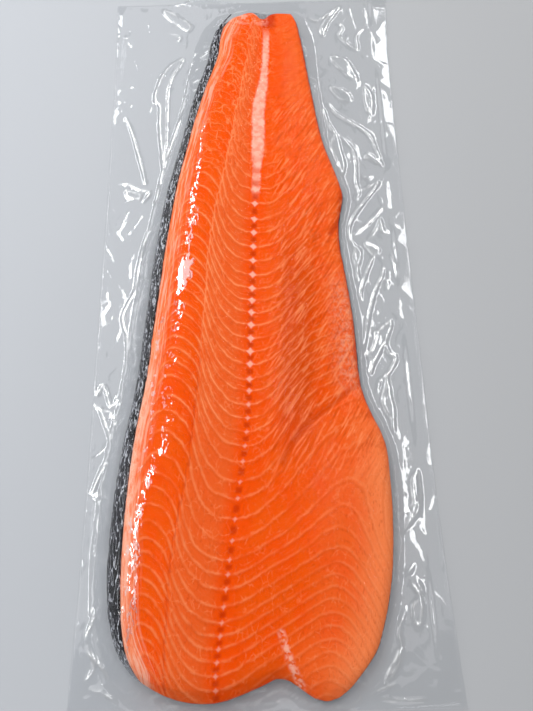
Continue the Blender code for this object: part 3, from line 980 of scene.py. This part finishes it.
def blurred(field, rounds):
    for _ in range(rounds):
        for axis in (0, 1):
            field = 0.25 * np.roll(field, 1, axis) + 0.5 * field + 0.25 * np.roll(field, -1, axis)
    return field


def crests(x, y, size, seed):
    """1 along the crests of wrinkles of a size, falling away on both sides of them."""
    points = np.stack([x.ravel(), y.ravel(), np.zeros(x.size)], axis=1)
    return 1 - np.abs(wander(points, size, seed, 1).reshape(x.shape)) * CREST_SHARPNESS


def crest_height(crest):
    return np.clip(crest, 0, 1) ** 2


def loose_film(x, y, seal, small):
    """Height of the film where it lies on the table, without its pockets and folds."""
    flat = np.stack([x.ravel(), y.ravel(), np.zeros(x.size)], axis=1)
    broad = wander(flat * (1.0, 0.6, 1.0), 38.0, 11).reshape(x.shape)
    loose = FILM_LOW + FILM_LOOSE + BROAD_WAVES * broad * np.where(x < 0, BACK_SHARE, 1.0)
    wrinkled = FOLD_CRESTS * crest_height(crests(x, y, 17.0, 12))
    loose += wrinkled + SMALL_CRESTS * crest_height(small) * (1 - seal)
    loose += seal * (SEAL_LIFT + SEAL_WAVES * np.sin(y / 21.0 + 0.8 * np.sin(y / 47.0)))
    edge_waves = EDGE_WAVES + EDGE_WAVES_HEAD * smooth_step(y, -40.0, -110.0)
    near_edge = smooth_step(BAG_HALF_WIDTH + x, EDGE_REACH_IN, 0.0)
    loose += edge_waves * near_edge * (0.5 + 0.5 * np.sin(y / 16.0 + np.sin(y / 37.0)))
    ends = smooth_step(BAG_HALF_LENGTH - np.abs(y), 0.0, END_REACH)
    return np.maximum(loose, FILM_LOW) * (END_SHARE + (1 - END_SHARE) * ends)


def drawn_taut(z, solid):
    """The film smoothed, and over the food drawn across its grooves but never into it."""
    covered = solid > 0
    smoothed = blurred(z, 1)
    taut = np.maximum(blurred(solid, FILM_TAUT) + FILM_BRIDGE, solid + FILM_NEAREST)
    loose = smoothed * LOOSE_SMOOTHING + z * (1 - LOOSE_SMOOTHING)
    z = np.where(covered, np.maximum(smoothed, taut), loose)
    return np.where(covered, np.maximum(blurred(z, 1), solid + FILM_NEAREST), z)


def film_heights(fillet):
    """The upper film on its grid, rows along the bag: place, height, cover, seal and sharp creases."""
    u = np.interp(np.linspace(0, 1, FILM_COLUMNS + 1), *np.array(COLUMN_PLACES).T)
    v = np.linspace(-1, 1, FILM_ROWS + 1)
    x, y = bag_place(*np.meshgrid(u, v))
    points = np.stack([x.ravel(), y.ravel()], axis=1)
    solid = heights_below(fillet, points).reshape(x.shape)
    covered = solid > 0
    spacing = (2 * BAG_HALF_LENGTH / FILM_ROWS, 2 * BAG_HALF_WIDTH / FILM_COLUMNS)
    tent = grown(solid, TENT_SLOPE, spacing, TENT_ROUNDS)
    tent = np.maximum(blurred(tent, TENT_BLUR), solid)
    seal = smooth_step(BAG_HALF_WIDTH - x, SEAL_WIDTH + 3, SEAL_WIDTH - 1)
    small = crests(x, y, 7.5, 13)
    pleats = crest_height(crests(x * PLEAT_STRETCH, y + PLEAT_LEAN * x, PLEAT_SIZE, 14))
    lift, lines = crease_relief(x, y)
    lift *= 1 - 0.8 * seal
    flat_share = smooth_step(tent, 2.6, 0.6)
    rising = smooth_step(tent, 0.3, 2.5) * ~covered
    z = tent + FILM_CLEARANCE + (loose_film(x, y, seal, small) + lift) * flat_share
    z += rising * (0.8 * lift + 0.4 * crest_height(small) + 1.1 * pleats)
    lines = np.maximum(lines, 0.5 * smooth_step(small, 0.82, 1.0) * rising)
    lines = np.maximum(lines, 0.5 * smooth_step(pleats, 0.2, 0.7) * rising) * ~covered
    return x, y, drawn_taut(z, solid), covered, seal, lines


def add_sheet(columns, rows, x, y, z):
    """A grid of faces with its points at places given in millimetres."""
    deselect_all()
    bpy.ops.mesh.primitive_grid_add(x_subdivisions=columns, y_subdivisions=rows, size=2.0)
    sheet = bpy.context.active_object
    move_vertices(sheet, np.stack([x.ravel(), y.ravel(), z.ravel()], axis=1) * MM)
    return sheet


def close_envelope(top, bottom):
    """Joins two sheets along their borders into one closed mesh."""
    take_up(bottom)
    bpy.ops.object.mode_set(mode="EDIT")
    bpy.ops.mesh.select_all(action="SELECT")
    bpy.ops.mesh.flip_normals()
    bpy.ops.object.mode_set(mode="OBJECT")
    take_up(top)
    bottom.select_set(True)
    bpy.ops.object.join()
    bpy.ops.object.mode_set(mode="EDIT")
    bpy.ops.mesh.select_mode(type="EDGE")
    bpy.ops.mesh.select_all(action="DESELECT")
    bpy.ops.mesh.select_non_manifold()
    bpy.ops.mesh.bridge_edge_loops()
    bpy.ops.mesh.select_all(action="DESELECT")
    bpy.ops.object.mode_set(mode="OBJECT")


def make_film(fillet):
    """One closed envelope: the upper sheet drawn down over the fillet, and the sheet under it."""
    x, y, z, covered, seal, lines = film_heights(fillet)
    top = add_sheet(FILM_COLUMNS, FILM_ROWS, x, y, z)
    top.name = "vacuum_film"
    lowest = -grown(-z, 0.0, (1.0, 1.0), UNDER_SHARE // 2)
    low = np.clip(0.5 * lowest - 0.1, 0.0, 1.2)
    low = np.where(covered | (z > 4.0), 0.15, low)
    under = (slice(None, None, UNDER_SHARE),) * 2
    bottom = add_sheet(FILM_COLUMNS // UNDER_SHARE, FILM_ROWS // UNDER_SHARE, x[under], y[under], low[under])
    close_envelope(top, bottom)
    co = vertex_places(top) / MM
    of_upper_sheet = {
        "upper_sheet": np.ones(z.size),
        "seal": seal,
        "cling": blurred(covered.astype(float), 2),
        "creased": lines,
    }
    for name, values in of_upper_sheet.items():
        everywhere = np.zeros(len(co))
        everywhere[: z.size] = values.ravel()
        write_on_vertices(top, name, everywhere)
    across, along = co[:, 0], co[:, 1] - SHIFT
    write_on_vertices(top, "from_ridge", across - smooth_value(RIDGE, along))
    write_on_vertices(top, "gleam", np.interp(along, *np.array(sorted(GLEAM)).T))
    write_on_vertices(top, "over_skin", smooth_step(across - smooth_value(BACK, along), 4.0, -1.0))
    return top


# Share of light that the film mirrors: on flat food, along the ridge, over the skin, where it is loose,
# at a glancing view, on the lower sheet beside the upper one, in a crease, and at most.
CLING_SHINE = 0.0025
GLEAM_SHINE = 0.36
SKIN_SHINE = 0.014
LOOSE_SHINE = 0.095
GLANCING_SHINE = 0.4
UNDER_SHINE = 0.15
CREASE_SHINE = 0.65
MOST_SHINE = 0.9
# Share of the loose film's gloss that is missing on the tent, and how fast gloss grows at a glancing view.
TENT_DULLS = 0.85
GLANCING_POWER = 5.0
# Roughness of the gloss where the film is smooth, and what a crease adds.
SMOOTH_GLOSS = 0.06
CREASE_GLOSS = 0.26
FILM_TINT = (0.968, 0.971, 0.975, 1.0)
WHITE = (1.0, 1.0, 1.0, 1.0)


def ridge_gleam(p, cling):
    """The glossiest film, in torn strokes along the loin's ridge and in spots mid-way."""
    wander_off = (p.noise((8.0, 14.0, 9.0), 1.0, 0.6) - 0.5) * 14.0
    from_ridge = p.attribute("from_ridge")
    off_ridge = p.maths("ABSOLUTE", from_ridge + wander_off)
    torn = (p.noise((1.4, 4.0, 3.0), 2.0, 0.7) - 0.5) * 9.0
    half = p.attribute("gleam")
    outline = p.maths("ABSOLUTE", p.noise((3.4, 8.0, 3.4), 2.0, 0.6) - 0.5)
    hollow = p.maths("MAXIMUM", p.step(outline, 0.065, 0.03), p.step(half, 3.2, 3.6))
    along = p.axis("Y")
    spotted = p.step(along, -30.0, -42.0) * p.step(along, -158.0, -148.0)
    spots = p.step(p.noise((3.4, 4.2, 3.4), 1.0), 0.5, 0.56)
    gleam = p.step(half * 1.25 + torn - off_ridge, 0.0, 0.5) * hollow * cling * (1 - spotted * (1 - spots))
    off_edge = p.maths("ABSOLUTE", from_ridge + wander_off * 0.5 + 10.0)
    return p.maths("MAXIMUM", gleam, p.step(torn - off_edge, -1.0, -0.4) * spots * spotted * cling)


def film_paint():
    p = Paint("clear_film_paint")
    cling = p.attribute("cling")
    loose = 1 - cling
    seal = p.attribute("seal")
    upper = p.attribute("upper_sheet")
    creased = p.attribute("creased")
    fine = p.noise((1.6, 5.0, 3.0), 1.0, 0.6)
    crumple = p.noise((4.6, 7.0, 5.0), 1.0)
    crinkle = fine * 0.35 * cling + crumple * 0.25 * (1 - seal * 0.8) * loose
    normal = p.bump(crinkle, 0.5, 0.8)
    facing = p.add("ShaderNodeLayerWeight", {}, {"Blend": 0.5, "Normal": normal}, "Facing")
    raised = p.step(p.axis("Z"), 1.8, 4.5) * loose
    shine = (loose - raised * TENT_DULLS) * (LOOSE_SHINE - CLING_SHINE) + CLING_SHINE
    shine = shine + ridge_gleam(p, cling) * GLEAM_SHINE
    shine = shine + p.attribute("over_skin") * cling * SKIN_SHINE
    broken = p.step(p.noise(4.5, 1.0), 0.32, 0.6)
    shine = shine + creased * (broken * 0.8 + 0.2) * CREASE_SHINE
    glancing = facing**GLANCING_POWER * GLANCING_SHINE * (loose * 0.5 + 0.5)
    sheet = upper * (1 - UNDER_SHINE) + UNDER_SHINE
    share = p.maths("MINIMUM", (shine + glancing) * sheet, MOST_SHINE)
    roughness = creased * CREASE_GLOSS + SMOOTH_GLOSS
    gloss = {"Color": WHITE, "Roughness": roughness, "Normal": normal}
    mirror = p.add("ShaderNodeBsdfGlossy", {}, gloss)
    clear = p.add("ShaderNodeBsdfTransparent", {}, {"Color": FILM_TINT})
    return p.output(p.add("ShaderNodeMixShader", {}, {0: share, 1: clear, 2: mirror}))


# The floor is painted lighter on the left and darker on the right, a painted fall of light across it.
FLOOR_LIT_LEFT = rgb(182, 185, 190)
FLOOR_SHADED_RIGHT = rgb(169, 170, 172)
FLOOR_FADE = 260.0
FLOOR_SIZE = 8.0


def floor_paint():
    p = Paint("floor_paint")
    colour = p.mix(p.step(p.axis("X"), -FLOOR_FADE, FLOOR_FADE), FLOOR_LIT_LEFT, FLOOR_SHADED_RIGHT)
    return p.output(p.add("ShaderNodeBsdfPrincipled", {}, {"Base Color": colour, "Roughness": 0.75}))


def make_floor():
    deselect_all()
    bpy.ops.mesh.primitive_plane_add(size=FLOOR_SIZE, location=(0, 0, 0))
    floor = bpy.context.active_object
    floor.name = "floor"
    floor.data.materials.append(floor_paint())


# Windows round the pack: place, size, brightness as it shows in a mirror, and the place they face.
WINDOWS = (
    ("left_strip", (-0.47, 0.55, 1.05), (0.12, 1.5), 7.5, (0.0, 0.35, 0.0)),
    ("bright_pane", (-0.47, 0.62, 1.05), (0.2, 0.2), 7.0, (0.0, 0.37, 0.0)),
    ("left_ceiling", (-0.25, 0.9, 1.1), (0.28, 2.4), 1.0, (0.0, 0.5, 0.0)),
    ("right_strip", (0.42, 0.65, 1.05), (0.1, 1.5), 7.0, (0.0, 0.39, 0.0)),
    ("right_ceiling", (0.27, 0.9, 1.1), (0.24, 2.4), 0.5, (0.0, 0.5, 0.0)),
    ("left_panel", (-1.1, 0.2, 1.0), (1.2, 1.4), 0.52, (0.0, 0.0, 0.0)),
    ("front_panel", (-0.1, -1.0, 0.9), (1.2, 0.7), 0.6, (0.0, -0.1, 0.0)),
    ("left_low_panel", (-0.9, 0.45, 0.34), (0.34, 1.5), 2.0, (0.0, 0.2, 0.0)),
    ("right_low_strip", (0.9, 0.5, 0.26), (0.1, 1.5), 2.5, (0.0, 0.2, 0.0)),
    ("top_fill", (0.1, -0.1, 1.5), (1.2, 1.2), 0.62, (0.0, 0.0, 0.0)),
)
# Lights that don't show in the film.
HIDDEN_LIGHTS = ("top_fill",)
ROOM_SHINE = 0.45
ROOM_TINT = (0.96, 0.98, 1.0, 1.0)


def make_light(name, place, size, power, aim):
    light = bpy.data.lights.new(name, "AREA")
    light.shape = "RECTANGLE"
    light.size, light.size_y = size
    light.energy = power
    obj = bpy.data.objects.new(name, light)
    bpy.context.scene.collection.objects.link(obj)
    obj.location = place
    back = (Vector(place) - Vector(aim)).normalized()
    long_way = (Vector((0.0, 1.0, 0.0)) - back * back.y).normalized()
    obj.rotation_euler = Matrix((long_way.cross(back), long_way, back)).transposed().to_euler()
    obj.visible_glossy = name not in HIDDEN_LIGHTS


def make_lights():
    world = bpy.data.worlds.new("soft_room")
    world.use_nodes = True
    background = world.node_tree.nodes["Background"]
    background.inputs["Color"].default_value = ROOM_TINT
    background.inputs["Strength"].default_value = ROOM_SHINE
    bpy.context.scene.world = world
    for name, place, size, shine, aim in WINDOWS:
        make_light(name, place, size, shine * math.pi * size[0] * size[1], aim)


def make_camera():
    camera = bpy.data.cameras.new("camera")
    camera.sensor_width = SENSOR
    camera.lens = SENSOR * FOCAL_PIXELS / PICTURE_HEIGHT
    obj = bpy.data.objects.new("camera", camera)
    bpy.context.scene.collection.objects.link(obj)
    obj.location = CAMERA_PLACE
    obj.rotation_euler = CAMERA_TURN
    bpy.context.scene.camera = obj


bpy.context.scene.view_settings.view_transform = "Standard"
make_camera()
make_lights()
make_floor()
flesh = make_flesh()
finish_piece(flesh, flesh_paint(), "salmon_flesh", "fillet_flesh")
skin = make_skin()
finish_piece(skin, skin_paint(), "salmon_skin", "fillet_skin")
film = make_film((flesh, skin))
finish_piece(film, film_paint(), "clear_film", "vacuum_bag")
